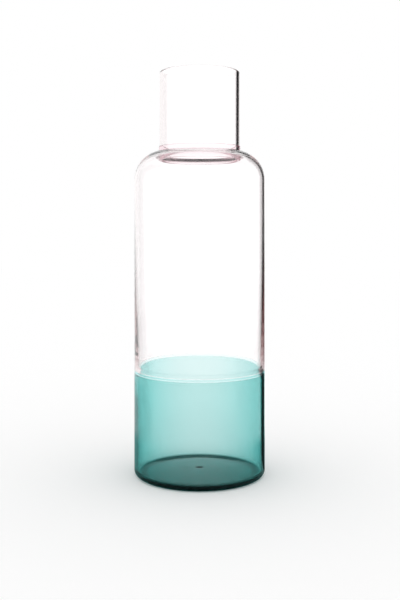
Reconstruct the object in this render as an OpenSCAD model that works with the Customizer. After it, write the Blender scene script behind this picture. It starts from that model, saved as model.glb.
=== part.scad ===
// Tall round water carafe in two colours of glass, blown and worked from tube.
// A closed teal cup is the base, a pale rose tube drawn in to a shoulder is the
// body, and a narrower rose tube is the neck. Two fused rings join the three.
// Millimetres, +Z up, origin at the centre of the base on the table.

/* [Body] */
// Outer diameter of the body, the same for the cup, the joint and the tube
body_d = 90; // [76:1:110]
// Height from the table to the top of the shoulder
body_h = 223; // [160:1:300]
// Wall of the straight part of the rose tube
body_wall = 1.5; // [1.1:0.1:3]
// Outside radius of the shoulder
shoulder_r = 20.3; // [12:0.1:24]
// Wall of the shoulder, a little thicker where the tube was drawn in
shoulder_wall = 2.2; // [1.6:0.1:3.5]

/* [Base cup] */
// Height from the table to the top edge of the teal cup
cup_h = 70.5; // [40:0.5:120]
// Wall of the teal cup
cup_wall = 2.3; // [1.4:0.1:4]
// Glass between the foot ring and the inside of the cup
cup_floor = 2.6; // [2:0.1:6]
// Outside radius of the heel
heel_r = 4; // [3:0.1:6]
// Inside radius between the floor and the wall
floor_r = 3; // [1.5:0.1:5]
// Width of the flat ring that the carafe stands on
foot_w = 5; // [3:0.5:10]
// How far the middle of the floor is pushed up, inside and outside
kick_up = 1.4; // [0.6:0.1:3]
// Diameter of the shallow mark where the closed end was finished
pip_d = 6; // [3:0.5:12]
// Depth of that mark
pip_depth = 0.5; // [0.2:0.1:1]

/* [Colour joint] */
// Height of the fused ring between the two colours
joint_h = 1.8; // [1.2:0.1:4]
// Height over which the wall swells inwards, half below and half above the ring
swell_h = 10; // [6:0.5:20]
// How far the wall swells inwards at the ring
swell_in = 0.4; // [0.2:0.1:1]

/* [Neck] */
// Outer diameter of the neck tube
neck_d = 55.4; // [44:0.2:64]
// Wall of the neck tube
neck_wall = 2.3; // [1.4:0.1:3]
// Length of the neck tube from the fused ring to the rim
neck_h = 51.5; // [25:0.5:80]
// Height of the fused ring above the shoulder
seal_h = 2.9; // [1.5:0.1:5]
// How far the fused ring stands out past the neck tube
seal_ridge = 0.5; // [0.3:0.1:1]
// Inside radius where the fused ring runs out into the shoulder
seal_fillet = 1.8; // [0.6:0.1:2.5]
// Straight stretch inside, between that radius and the ring's rounded lower edge
seal_straight = 0.1; // [0:0.1:3]
// How far the ring's lower edge flares out, like a bell, inside the shoulder
seal_flare = 0.8; // [0.3:0.1:1.5]

/* [Hidden] */
$fn = 160;
// Overrun of a cut past the face that it goes through
over = 1;
body_r = body_d / 2;
neck_r = neck_d / 2;
bore_r = neck_r - neck_wall;
cup_in_r = body_r - cup_wall;
body_in_r = body_r - body_wall;
joint_top = cup_h + joint_h;
joint_mid = cup_h + joint_h / 2;
// Radius of the inward bow that joins the cup's wall to the thinner tube's wall
wall_step = body_in_r - cup_in_r;
bow_chord = sqrt(wall_step * wall_step + swell_h * swell_h);
bow_r = (bow_chord * bow_chord / 4 + swell_in * swell_in) / (2 * swell_in);
// The inside of the shoulder keeps both walls, at the side and at the top
shoulder_in_r = shoulder_r - shoulder_wall;
under_z = body_h - shoulder_wall;
// The fused ring's inside radius touches the flared edge and the shoulder's inside
// arc, and the body tube opens where it has run out into that arc
arc_r = body_in_r - shoulder_in_r;
fillet_r = neck_r + seal_flare + seal_fillet;
fillet_reach = shoulder_in_r - seal_fillet;
fillet_out = max(0, fillet_r - arc_r);
fillet_z = under_z - shoulder_in_r + sqrt(fillet_reach * fillet_reach - fillet_out * fillet_out);
opening_r = fillet_r + fillet_out * seal_fillet / fillet_reach;
seal_foot_z = fillet_z - seal_straight;
// Radius of the bell that the bore opens into below the top of the shoulder
bell_drop = body_h - seal_foot_z;
bell_r = (bell_drop * bell_drop + seal_flare * seal_flare) / (2 * seal_flare);
seal_r = neck_r + seal_ridge;
seal_top = body_h + seal_h;
rim_top = seal_top + neck_h;
lip_r = neck_wall / 2;
// Crown radius of the pushed-up floor, and of the mark at its middle
foot_in_r = body_r - heel_r - foot_w;
crown_r = (foot_in_r * foot_in_r + kick_up * kick_up) / (2 * kick_up);
pip_r = pip_d / 2;
pip_crown_r = (pip_r * pip_r + pip_depth * pip_depth) / (2 * pip_depth);
rose = [0.97, 0.87, 0.9, 0.45];
teal = [0.2, 0.68, 0.66, 0.6];
pale = [0.8, 0.95, 0.95, 0.5];

// Everything inside a vertical wall of radius r up to z, with a rounded shoulder
module under_shoulder(r, z, corner) {
    square([r, z - corner]);
    square([r - corner, z]);
    intersection() {
        translate([r - corner, z - corner])
            circle(corner);
        square([r, z]);
    }
}

// Everything inside a vertical wall of radius r above z, with a rounded corner
module above_floor(r, z, corner, top) {
    translate([0, z + corner])
        square([r, top - z - corner]);
    translate([0, z])
        square([r - corner, top - z]);
    translate([r - corner, z + corner])
        circle(corner);
}

// Low crown that rises above z = 0 from the axis, cut from a big circle
module crown(big_r, rise) {
    intersection() {
        translate([0, rise - big_r])
            circle(big_r);
        square([body_r, kick_up + over]);
    }
}

// Wall near the colour joint from one height to another. Its inside is one arc
// from the wall of the cup to the thinner wall of the tube, bowed inwards.
module swollen_wall(low, high) {
    intersection() {
        translate([(cup_in_r + body_in_r) / 2, joint_mid])
        rotate(-atan2(wall_step, swell_h))
        translate([bow_r - swell_in, 0])
            circle(bow_r);
        translate([0, low])
            square([body_r, high - low]);
    }
}

// Closed cup of teal glass with a rounded heel and a floor pushed up in the middle
module base_cup() {
    color(teal)
    rotate_extrude()
    difference() {
        above_floor(body_r, 0, heel_r, cup_h);
        difference() {
            above_floor(cup_in_r, cup_floor, floor_r, cup_h + over);
            translate([0, cup_floor])
                crown(crown_r, kick_up);
            swollen_wall(joint_mid - swell_h, cup_h);
        }
        crown(crown_r, kick_up);
        translate([0, cup_floor + kick_up + pip_crown_r - pip_depth])
            circle(pip_crown_r);
    }
}

// Ring of paler glass where the cup and the tube ran together
module colour_joint() {
    color(pale)
    rotate_extrude()
        swollen_wall(cup_h, joint_top);
}

// Straight rose tube drawn in to a round shoulder with an opening for the neck
module body_tube() {
    color(rose)
    rotate_extrude()
    difference() {
        under_shoulder(body_r, body_h, shoulder_r);
        difference() {
            under_shoulder(body_in_r, under_z, shoulder_in_r);
            swollen_wall(joint_top, joint_mid + swell_h);
        }
        square([body_r + over, joint_top]);
        square([opening_r, body_h + over]);
    }
}

// Ring of glass where the flame ran the shoulder and the neck tube together. It has
// a small ridge outside. Inside, its rounded lower edge flares out below the bore.
module neck_seal() {
    color(rose)
    rotate_extrude()
    difference() {
        union() {
            intersection() {
                under_shoulder(body_r, body_h, shoulder_r);
                translate([bore_r, fillet_z])
                    square([opening_r - bore_r, body_h - fillet_z]);
            }
            translate([bore_r, fillet_z])
                square([seal_r - bore_r, seal_top - seal_ridge - fillet_z]);
            translate([neck_r, seal_top - seal_ridge])
                circle(seal_ridge);
            translate([bore_r, body_h])
                square([neck_wall, seal_h]);
            translate([bore_r, seal_foot_z])
                square([neck_wall + seal_flare, fillet_z - seal_foot_z]);
            translate([bore_r + seal_flare + lip_r, seal_foot_z])
                circle(lip_r);
        }
        translate([fillet_r, fillet_z])
            circle(seal_fillet);
        bell();
    }
}

// The bell inside the ring: all that lies between the axis and a big circle that
// touches the bore at the top of the shoulder and meets the rounded edge below
module bell() {
    difference() {
        translate([0, seal_foot_z])
            square([bore_r + bell_r, body_h - seal_foot_z]);
        translate([bore_r + bell_r, body_h])
            circle(bell_r);
    }
}

// Straight rose neck tube with a fire-polished rim
module neck_tube() {
    color(rose)
    rotate_extrude()
    union() {
        translate([bore_r, seal_top])
            square([neck_wall, neck_h - lip_r]);
        translate([bore_r + lip_r, rim_top - lip_r])
            circle(lip_r);
    }
}

base_cup();
colour_joint();
body_tube();
neck_seal();
neck_tube();
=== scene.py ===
"""A tall round water carafe in two colours of glass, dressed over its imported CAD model."""
import math

import bpy
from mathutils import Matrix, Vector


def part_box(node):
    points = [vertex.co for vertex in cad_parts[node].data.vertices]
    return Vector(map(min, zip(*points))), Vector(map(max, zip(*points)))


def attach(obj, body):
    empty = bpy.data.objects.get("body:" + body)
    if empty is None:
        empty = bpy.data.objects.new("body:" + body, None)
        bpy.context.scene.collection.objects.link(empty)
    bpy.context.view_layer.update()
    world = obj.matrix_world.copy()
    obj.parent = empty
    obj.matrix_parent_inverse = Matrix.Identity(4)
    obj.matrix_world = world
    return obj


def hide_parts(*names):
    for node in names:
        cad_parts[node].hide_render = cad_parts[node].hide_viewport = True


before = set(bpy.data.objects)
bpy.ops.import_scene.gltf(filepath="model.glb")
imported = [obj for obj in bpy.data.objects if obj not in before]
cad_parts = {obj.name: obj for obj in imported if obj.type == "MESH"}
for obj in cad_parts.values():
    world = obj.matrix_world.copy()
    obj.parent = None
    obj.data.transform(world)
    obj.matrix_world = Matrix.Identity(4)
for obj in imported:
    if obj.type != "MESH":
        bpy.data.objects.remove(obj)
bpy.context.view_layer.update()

# View
# The carafe was photographed from close by, level with the upper third of its body.
# The picture is cropped low, so the lens is shifted and the uprights stay parallel.
photo_width_px = 400
photo_height_px = 600
horizon_px = 230
axis_px = 199.6
focal_px = 847
camera_distance = 0.5864
camera_height = 0.1682
level_deg = 90
film_height = 36
nearest_seen = 0.01

camera_data = bpy.data.cameras.new("camera")
camera = bpy.data.objects.new("camera", camera_data)
bpy.context.scene.collection.objects.link(camera)
camera.location = (0, -camera_distance, camera_height)
camera.rotation_euler = (math.radians(level_deg), 0, 0)
camera_data.sensor_fit = "VERTICAL"
camera_data.sensor_height = film_height
camera_data.lens = film_height * focal_px / photo_height_px
camera_data.shift_x = (photo_width_px / 2 - axis_px) / photo_height_px
camera_data.shift_y = (horizon_px - photo_height_px / 2) / photo_height_px
camera_data.clip_start = nearest_seen
bpy.context.scene.camera = camera

# Base cup
# The closed end of a teal tube of borosilicate glass, about 2.3 mm thick. The flame
# rounded its heel and pushed the floor up, and a small mark is left where the end closed.
# Soft waves in the wall show that it was worked by hand and not pressed.
MM = 0.001
SPIN_STEPS = 288
SHARP_DEG = 35
# Longest step along a round stretch of a section, in degrees and in millimetres
ARC_STEP_DEG = 4
ARC_STEP = 1.5
# Points of a section that are closer than this become one
MERGE = 0.002
# Air between two pieces of glass, so that a ray meets one surface at a time
FACE_GAP = 0.02

cup_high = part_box("base_cup")[1]
body_r = cup_high.x / MM
cup_top = cup_high.z / MM
cup_wall = 2.3
cup_floor = 2.6
heel_r = 4
floor_r = 3
foot_w = 5
kick_up = 1.4
pip_r = 3
pip_depth = 0.5
swell_h = 10
swell_in = 0.4
tube_wall = 1.5
joint_low, joint_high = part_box("colour_joint")
joint_bottom, joint_top = joint_low.z / MM, joint_high.z / MM
joint_mid = (joint_bottom + joint_top) / 2
cup_in_r = body_r - cup_wall
body_in_r = body_r - tube_wall
foot_in_r = body_r - heel_r - foot_w


def arc(centre_r, centre_z, radius, start_deg, end_deg):
    """Points of a round stretch of a section, in millimetres, both ends included."""
    turned = abs(end_deg - start_deg)
    length = math.radians(turned) * radius
    steps = max(2, math.ceil(turned / ARC_STEP_DEG), math.ceil(length / ARC_STEP))
    turns = [math.radians(start_deg + (end_deg - start_deg) * i / steps)
             for i in range(steps + 1)]
    return [(centre_r + radius * math.cos(t), centre_z + radius * math.sin(t)) for t in turns]


def bow_radius(width, rise):
    """Radius of the circle through a low bow's middle and both edges, width off the axis."""
    return (width ** 2 + rise ** 2) / (2 * rise)


def crown(width, rise, base_z):
    """Points of a low dome from its edge to the axis, width across from the axis."""
    radius = bow_radius(width, rise)
    edge_deg = math.degrees(math.asin(width / radius))
    return arc(0, base_z + rise - radius, radius, 90 - edge_deg, 90)


def swollen_wall(low, high):
    """Inside of the wall between two heights near the colour joint, from the top down."""
    step = body_in_r - cup_in_r
    radius = bow_radius(math.hypot(step, swell_h) / 2, swell_in)
    lean = math.atan2(step, swell_h)
    centre_r = (cup_in_r + body_in_r) / 2 + (radius - swell_in) * math.cos(lean)
    centre_z = joint_mid - (radius - swell_in) * math.sin(lean)
    top_deg = 180 - math.degrees(math.asin((high - centre_z) / radius))
    low_deg = 180 - math.degrees(math.asin((low - centre_z) / radius))
    return arc(centre_r, centre_z, radius, top_deg, low_deg)


def lathe(name, section):
    """Draw a half section point by point from its first point, and spin it round the axis."""
    bpy.ops.object.select_all(action="DESELECT")
    bpy.ops.mesh.primitive_plane_add(size=MM, location=(0, 0, 0))
    piece = bpy.context.object
    piece.name = piece.data.name = name
    bpy.ops.object.mode_set(mode="EDIT")
    bpy.ops.mesh.merge(type="CENTER")
    bpy.ops.mesh.select_all(action="SELECT")
    at_r, at_z = section[0]
    bpy.ops.transform.translate(value=(at_r * MM, 0, at_z * MM))
    for to_r, to_z in section[1:]:
        move = ((to_r - at_r) * MM, 0, (to_z - at_z) * MM)
        bpy.ops.mesh.extrude_region_move(TRANSFORM_OT_translate={"value": move})
        at_r, at_z = to_r, to_z
    bpy.ops.mesh.select_all(action="SELECT")
    bpy.ops.mesh.remove_doubles(threshold=MERGE * MM)
    bpy.ops.mesh.select_all(action="SELECT")
    bpy.ops.mesh.spin(steps=SPIN_STEPS, angle=math.tau, center=(0, 0, 0), axis=(0, 0, 1))
    bpy.ops.mesh.select_all(action="SELECT")
    bpy.ops.mesh.remove_doubles(threshold=MERGE * MM)
    bpy.ops.mesh.normals_make_consistent(inside=False)
    bpy.ops.object.mode_set(mode="OBJECT")
    bpy.ops.object.shade_smooth_by_angle(angle=math.radians(SHARP_DEG))
    return piece


# From the foot ring up the outside, down the inside and in over the crowned floor
wall_and_floor = (
    [(foot_in_r, 0), (body_r - heel_r, 0)]
    + arc(body_r - heel_r, heel_r, heel_r, -90, 0)
    + [(body_r, cup_top - FACE_GAP)]
    + swollen_wall(joint_mid - swell_h / 2, cup_top - FACE_GAP)
    + arc(cup_in_r - floor_r, cup_floor + floor_r, floor_r, 0, -90)
    + crown(foot_in_r, kick_up, cup_floor)[:-1]
)
# The mark is a shallow dish at the middle of the floor
pip_crown_r = bow_radius(pip_r, pip_depth)
pip_edge_deg = math.degrees(math.asin(pip_r / pip_crown_r))
pip_section = arc(0, cup_floor + kick_up - pip_depth + pip_crown_r, pip_crown_r,
                  pip_edge_deg - 90, -90)
cup_section = (
    [(r, z) for r, z in wall_and_floor if z < cup_floor or r > pip_r]
    + pip_section
    + crown(foot_in_r, kick_up, 0)[::-1]
)
base_cup = lathe("teal_cup", cup_section)


def linear(hex_colour):
    """Linear colour of an sRGB hex value."""
    parts = [int(hex_colour[i:i + 2], 16) / 255 for i in (0, 2, 4)]
    return [p / 12.92 if p <= 0.04045 else ((p + 0.055) / 1.055) ** 2.4 for p in parts]


def add_node(tree, kind, settings=None, links=None):
    """Add one node, give its sockets or properties their settings, and link its inputs."""
    node = tree.nodes.new(kind)
    for key, value in (settings or {}).items():
        if isinstance(key, int) or key in node.inputs:
            node.inputs[key].default_value = value
        else:
            setattr(node, key, value)
    for key, source in (links or {}).items():
        tree.links.new(source, node.inputs[key])
    return node


# Sockets of a Mix node that mixes colours: the two that go in, and the one that comes out
MIX_UNDER, MIX_OVER, MIXED = 6, 7, 2
# The tube was drawn along its axis, so its waves are longer upwards than across
DRAWN = (1, 1, 0.35)
# Millimetres: how far apart the waves are, how high they stand, and how far apart the
# streaks of deeper colour are
WAVE_STEP = 22
WAVE_HEIGHT = 0.004
STREAK_STEP = 14
STREAK_LEAST, STREAK_MOST = 0.85, 1.15
# Keep the sums for the colour in bounds, for a channel that is black or the deepest
DARKEST = 0.001
DENSITY_ROOM = 1.02


def tube_glass(name, seen_through, path, edge_tint):
    """Hand-worked borosilicate glass: polished by the flame, see-through, with its colour
    all through it. seen_through is what white looks like through that path of glass, in mm,
    and edge_tint is what a wall seen edge on adds to it."""
    material = bpy.data.materials.new(name)
    material.use_nodes = True
    tree = material.node_tree
    tree.nodes.clear()
    object_place = add_node(tree, "ShaderNodeTexCoord").outputs["Object"]
    drawn = add_node(tree, "ShaderNodeMapping", {"Scale": DRAWN}, {"Vector": object_place})
    waves = add_node(tree, "ShaderNodeTexNoise",
                     {"Scale": 1 / (WAVE_STEP * MM), "Detail": 2.0, "Roughness": 0.4},
                     {"Vector": drawn.outputs["Vector"]})
    bump = add_node(tree, "ShaderNodeBump", {"Strength": 1.0, "Distance": WAVE_HEIGHT * MM},
                    {"Height": waves.outputs["Fac"]})
    streaks = add_node(tree, "ShaderNodeTexNoise",
                       {"Scale": 1 / (STREAK_STEP * MM), "Detail": 3.0},
                       {"Vector": drawn.outputs["Vector"]})
    # Where the wall is seen aslant its colour is deeper, and the streaks vary it a little
    slant = add_node(tree, "ShaderNodeLayerWeight", {"Blend": 0.5}).outputs["Facing"]
    uneven = add_node(tree, "ShaderNodeMapRange",
                      {"To Min": STREAK_LEAST, "To Max": STREAK_MOST},
                      {"Value": streaks.outputs["Fac"]}).outputs[0]
    deep = add_node(tree, "ShaderNodeMath", {"operation": "MULTIPLY"},
                    {0: slant, 1: uneven}).outputs[0]
    tint = add_node(tree, "ShaderNodeMix",
                    {"data_type": "RGBA", MIX_UNDER: (1, 1, 1, 1),
                     MIX_OVER: (*linear(edge_tint), 1)}, {0: deep})
    glass = add_node(tree, "ShaderNodeBsdfPrincipled",
                     {"Transmission Weight": 1.0, "Roughness": 0.0, "IOR": 1.47},
                     {"Base Color": tint.outputs[MIXED], "Normal": bump.outputs["Normal"]})
    # The colour of the glass itself takes more from light the longer its path
    loss = [-math.log(max(part, DARKEST)) / (path * MM) for part in linear(seen_through)]
    density = max(loss) * DENSITY_ROOM
    body = add_node(tree, "ShaderNodeVolumeAbsorption",
                    {"Color": [1 - part / density for part in loss] + [1],
                     "Density": density})
    add_node(tree, "ShaderNodeOutputMaterial", {},
             {"Surface": glass.outputs["BSDF"], "Volume": body.outputs["Volume"]})
    return material


def dress(piece, node, material):
    """The finished piece takes the given finish and stands in for its CAD node, which is hidden.
    """
    piece.data.materials.clear()
    piece.data.materials.append(material)
    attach(piece, "root")
    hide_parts(node)


teal_glass = tube_glass("teal_borosilicate_flame_worked", "D4EBEA", cup_wall, "50E4E2")
dress(base_cup, "base_cup", teal_glass)

# Colour joint
# The ring where the teal cup and the rose tube were fused. Both ends were softened in
# the flame and pushed together, so the wall swells inwards and the colours thin out.
ring_section = (
    [(body_r, joint_bottom), (body_r, joint_top - FACE_GAP)]
    + swollen_wall(joint_bottom, joint_top - FACE_GAP)
    + [(body_r, joint_bottom)]
)
colour_joint = lathe("fused_joint_ring", ring_section)
joint_glass = tube_glass("pale_borosilicate_fused", "F4FCFC", tube_wall, "F4FFFF")
dress(colour_joint, "colour_joint", joint_glass)

# Body tube
# A pale rose tube of borosilicate glass, 90 mm across with a 1.5 mm wall. Its top was
# heated, turned on a lathe and drawn in to a round shoulder with an opening for the neck.
shoulder_r = 20.3
shoulder_wall = 2.2
body_top = 223
neck_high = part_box("neck_tube")[1]
neck_r = neck_high.x / MM
seal_fillet = 1.8
seal_flare = 0.8
shoulder_in_r = shoulder_r - shoulder_wall
arc_out_r = body_r - shoulder_r
arc_in_r = body_in_r - shoulder_in_r
out_z = body_top - shoulder_r
in_z = body_top - shoulder_wall - shoulder_in_r
# The fillet inside touches the shoulder's inner arc, and the tube opens from there
fillet_r = neck_r + seal_flare + seal_fillet
fillet_reach = shoulder_in_r - seal_fillet
fillet_out = fillet_r - arc_in_r
fillet_z = in_z + math.sqrt(fillet_reach ** 2 - fillet_out ** 2)
opening_r = fillet_r + fillet_out * seal_fillet / fillet_reach
tube_edge_r = opening_r + FACE_GAP


def turned_to(at_r, centre_r, radius):
    """Angle on a round stretch at which it is at_r from the axis."""
    return math.degrees(math.acos((at_r - centre_r) / radius))


tube_section = (
    [(body_r, joint_top)]
    + arc(arc_out_r, out_z, shoulder_r, 0, turned_to(tube_edge_r, arc_out_r, shoulder_r))
    + arc(arc_in_r, in_z, shoulder_in_r, turned_to(tube_edge_r, arc_in_r, shoulder_in_r), 0)
    + swollen_wall(joint_top, joint_mid + swell_h / 2)
    + [(body_r, joint_top)]
)
body_tube = lathe("rose_tube", tube_section)
rose_glass = tube_glass("rose_borosilicate_flame_worked", "FDFCFC", tube_wall, "FFFDFE")
dress(body_tube, "body_tube", rose_glass)

# Neck seal
# The ring of glass where the flame ran the shoulder and the neck tube together. It is
# a little deeper in colour, with a small ridge outside and a rounded edge inside.
seal_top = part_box("neck_seal")[1].z / MM
neck_wall = 2.3
seal_ridge = 0.5
seal_straight = 0.1
# The notch above the ridge draws a thin dark line round the neck
RIDGE_GAP = 0.15
RIDGE_END_DEG = 70
bore_r = neck_r - neck_wall
lip_r = neck_wall / 2
ridge_z = seal_top - seal_ridge
root_r = neck_r + seal_ridge
# Inside, the bore opens like a bell down to the rounded edge
foot_z = fillet_z - seal_straight
bell_drop = body_top - foot_z
bell_r = bow_radius(bell_drop, seal_flare)
bell_deg = math.degrees(math.asin(bell_drop / bell_r))
seal_section = (
    [(bore_r, seal_top - RIDGE_GAP)]
    + arc(bore_r + bell_r, body_top, bell_r, 180, 180 + bell_deg)[:-1]
    + arc(bore_r + seal_flare + lip_r, foot_z, lip_r, -180, 0)
    + arc(fillet_r, fillet_z, seal_fillet, 180, turned_to(opening_r, fillet_r, seal_fillet))
    + arc(arc_out_r, out_z, shoulder_r, turned_to(opening_r, arc_out_r, shoulder_r),
          turned_to(root_r, arc_out_r, shoulder_r))
    + arc(neck_r, ridge_z, seal_ridge, 0, RIDGE_END_DEG)
    + [(bore_r, seal_top - RIDGE_GAP)]
)
neck_seal = lathe("fused_neck_ring", seal_section)
seal_glass = tube_glass("deep_rose_borosilicate_fused", "FDF9FA", tube_wall, "FFFCFD")
dress(neck_seal, "neck_seal", seal_glass)

# Neck tube
# A narrower tube of the same rose glass, set on the shoulder. Its cut end was held in
# the flame until it melted round, so the rim is smooth to pour and to drink from.
rim_top = neck_high.z / MM
neck_section = (
    [(bore_r, seal_top), (neck_r, seal_top)]
    + arc(neck_r - lip_r, rim_top - lip_r, lip_r, 0, 180)
    + [(bore_r, seal_top)]
)
neck_tube = lathe("rose_neck", neck_section)
dress(neck_tube, "neck_tube", rose_glass)

# Table and studio
# A matt white table, plain where seen straight on, that runs into a white tent. What stands
# outside the picture shows only where the glass mirrors it: a black card back right, as the
# dark line down the right edge. Painted shade at the table's left shows only in the glass too.
table_radius = 60
table_steps = 96
bpy.ops.object.select_all(action="DESELECT")
bpy.ops.mesh.primitive_circle_add(vertices=table_steps, radius=table_radius,
                                  fill_type="NGON", location=(0, 0, 0))
table = bpy.context.object
table.name = "table"

# Turns are to the right of straight back, and reaches are metres from the carafe's axis
card_from_deg, card_to_deg, card_top_deg, card_soft_deg = 17, 48, 35, 1.5
card_grey = 0.02
# Painted shade on the table at the left, which shows only mirrored in the glass
shade_from_deg, shade_to_deg, shade_soft_deg = -100, 6, 5
shade_reach, shade_soft, shade_grey = 0.42, 0.06, 0.5
# Under the base and round it, painted shadow tinted teal, as if its light had come through the
# teal cup
under_reach, under_soft, painted_teal_shadow_colour = 0.045, 0.003, "2F8985"
round_reach, round_soft, painted_shade_round_colour = 0.14, 0.02, "7CA2A0"
# How bright the white is through the glass, and mirrored in it
back_glow, mirror_glow = 1.2, 1.05
# From here to there, the table goes over into the white of the tent
far_from, far_to = 1.0, 3.0
# Bounces are counted in whole numbers, so this parts none from one
HALF_BOUNCE = 0.5


def grey(level):
    """Grey of one brightness, where 1 is white."""
    return (level, level, level)


def lay_over(tree, under, over, *areas):
    """Lay a colour over the one that is there, where all of the areas are 1."""
    share = areas[0]
    for area in areas[1:]:
        share = add_node(tree, "ShaderNodeMath", {"operation": "MULTIPLY"},
                         {0: share, 1: area}).outputs[0]
    return add_node(tree, "ShaderNodeMix", {"data_type": "RGBA", MIX_OVER: (*over, 1)},
                    {0: share, MIX_UNDER: under}).outputs[MIXED]


def sector(tree, place, from_deg, to_deg, soft_deg):
    """1 where a direction or place lies between two turns, else 0, with soft edges."""
    start, end, soft = (math.radians(turn) for turn in (from_deg, to_deg, soft_deg))
    split = add_node(tree, "ShaderNodeSeparateXYZ", {}, {0: place})
    turn = add_node(tree, "ShaderNodeMath", {"operation": "ARCTAN2"},
                    {0: split.outputs["X"], 1: split.outputs["Y"]}).outputs[0]
    rises = add_node(tree, "ShaderNodeMapRange",
                     {"From Min": start - soft, "From Max": start + soft}, {"Value": turn})
    falls = add_node(tree, "ShaderNodeMapRange",
                     {"From Min": end + soft, "From Max": end - soft}, {"Value": turn})
    return add_node(tree, "ShaderNodeMath", {"operation": "MULTIPLY"},
                    {0: rises.outputs[0], 1: falls.outputs[0]}).outputs[0]


def seen_in_glass(tree):
    """1 for what is seen in the glass or through it, else 0. Light that the table gives
    back isn't counted."""
    path = add_node(tree, "ShaderNodeLightPath")
    either = add_node(tree, "ShaderNodeMath", {"operation": "MAXIMUM"},
                      {0: path.outputs["Is Glossy Ray"], 1: path.outputs["Is Transmission Ray"]})
    first = add_node(tree, "ShaderNodeMath", {"operation": "LESS_THAN", 1: HALF_BOUNCE},
                     {0: path.outputs["Diffuse Depth"]})
    return add_node(tree, "ShaderNodeMath", {"operation": "MULTIPLY"},
                    {0: either.outputs[0], 1: first.outputs[0]}).outputs[0]


def seen_mirrored(tree):
    """1 for what is seen by way of a reflection on or in the glass, else 0."""
    path = add_node(tree, "ShaderNodeLightPath")
    return add_node(tree, "ShaderNodeMath", {"operation": "GREATER_THAN", 1: HALF_BOUNCE},
                    {0: path.outputs["Glossy Depth"]}).outputs[0]


def white_paint(tree, in_glass, in_mirror):
    """White, and a little brighter where it is seen through the glass or mirrored in it."""
    through = add_node(tree, "ShaderNodeMix",
                       {"data_type": "RGBA", MIX_UNDER: (1, 1, 1, 1),
                        MIX_OVER: (*grey(back_glow), 1)}, {0: in_glass}).outputs[MIXED]
    return lay_over(tree, through, grey(mirror_glow), in_mirror, in_glass)


# The tent, with the card standing in it up to its top edge
world = bpy.data.worlds.new("white_tent")
bpy.context.scene.world = world
world.use_nodes = True
tree = world.node_tree
tree.nodes.clear()
looking = add_node(tree, "ShaderNodeTexCoord").outputs["Generated"]
in_glass, in_mirror = seen_in_glass(tree), seen_mirrored(tree)
rise = add_node(tree, "ShaderNodeSeparateXYZ", {}, {0: looking}).outputs["Z"]
card_top, card_soft = math.sin(math.radians(card_top_deg)), math.radians(card_soft_deg)
below_top = add_node(tree, "ShaderNodeMapRange",
                     {"From Min": card_top + card_soft, "From Max": card_top - card_soft},
                     {"Value": rise}).outputs[0]
card = sector(tree, looking, card_from_deg, card_to_deg, card_soft_deg)
tent = lay_over(tree, white_paint(tree, in_glass, in_mirror), grey(card_grey),
                card, below_top, in_mirror, in_glass)
light = add_node(tree, "ShaderNodeBackground", {"Strength": 1.0}, {"Color": tent})
add_node(tree, "ShaderNodeOutputWorld", {}, {"Surface": light.outputs[0]})

# The table's board. In the glass, the card goes on across it, with painted shade at the left and
# painted teal shadow under and round the base
board = bpy.data.materials.new("matt_white_board")
board.use_nodes = True
tree = board.node_tree
tree.nodes.clear()
on_table = add_node(tree, "ShaderNodeTexCoord").outputs["Object"]
from_right, from_left = [
    add_node(tree, "ShaderNodeVectorMath", {"operation": way, 1: (body_r * MM, 0, 0)},
             {0: on_table}).outputs["Vector"]
    for way in ("SUBTRACT", "ADD")]
away = add_node(tree, "ShaderNodeVectorMath", {"operation": "LENGTH"},
                {0: on_table}).outputs["Value"]
near, painted_shade_round_base, painted_shadow_under_base = [
    add_node(tree, "ShaderNodeMapRange", {"From Min": reach + soft, "From Max": reach - soft},
             {"Value": away}).outputs[0]
    for reach, soft in ((shade_reach, shade_soft), (round_reach, round_soft),
                        (under_reach, under_soft))]
in_glass, in_mirror = seen_in_glass(tree), seen_mirrored(tree)
left = sector(tree, from_left, shade_from_deg, shade_to_deg, shade_soft_deg)
card = sector(tree, from_right, card_from_deg, card_to_deg, card_soft_deg)
paint = white_paint(tree, in_glass, in_mirror)
# Painted shade: grey laid on the table near the left, seen only in reflections in the glass
paint = lay_over(tree, paint, grey(shade_grey), near, left, in_mirror, in_glass)
# Painted shade round the base, tinted teal, seen only mirrored in the glass
paint = lay_over(tree, paint, linear(painted_shade_round_colour), painted_shade_round_base, in_mirror, in_glass)
# Painted shadow under the base, tinted teal, seen only through the glass
paint = lay_over(tree, paint, linear(painted_teal_shadow_colour), painted_shadow_under_base, in_glass)
paint = lay_over(tree, paint, grey(card_grey), card, in_mirror, in_glass)
matt = add_node(tree, "ShaderNodeBsdfDiffuse", {}, {"Color": paint})
lit = add_node(tree, "ShaderNodeEmission", {}, {"Color": paint})
far = add_node(tree, "ShaderNodeMapRange", {"From Min": far_from, "From Max": far_to},
               {"Value": away})
ground = add_node(tree, "ShaderNodeMixShader", {},
                  {0: far.outputs[0], 1: matt.outputs[0], 2: lit.outputs[0]})
add_node(tree, "ShaderNodeOutputMaterial", {}, {"Surface": ground.outputs[0]})
table.data.materials.append(board)

# Light trapped in the walls runs a long way before it leaves at the rim
BOUNCES = 64
cycles = bpy.context.scene.cycles
cycles.max_bounces = cycles.transmission_bounces = cycles.glossy_bounces = BOUNCES
bpy.context.scene.view_settings.view_transform = "Standard"
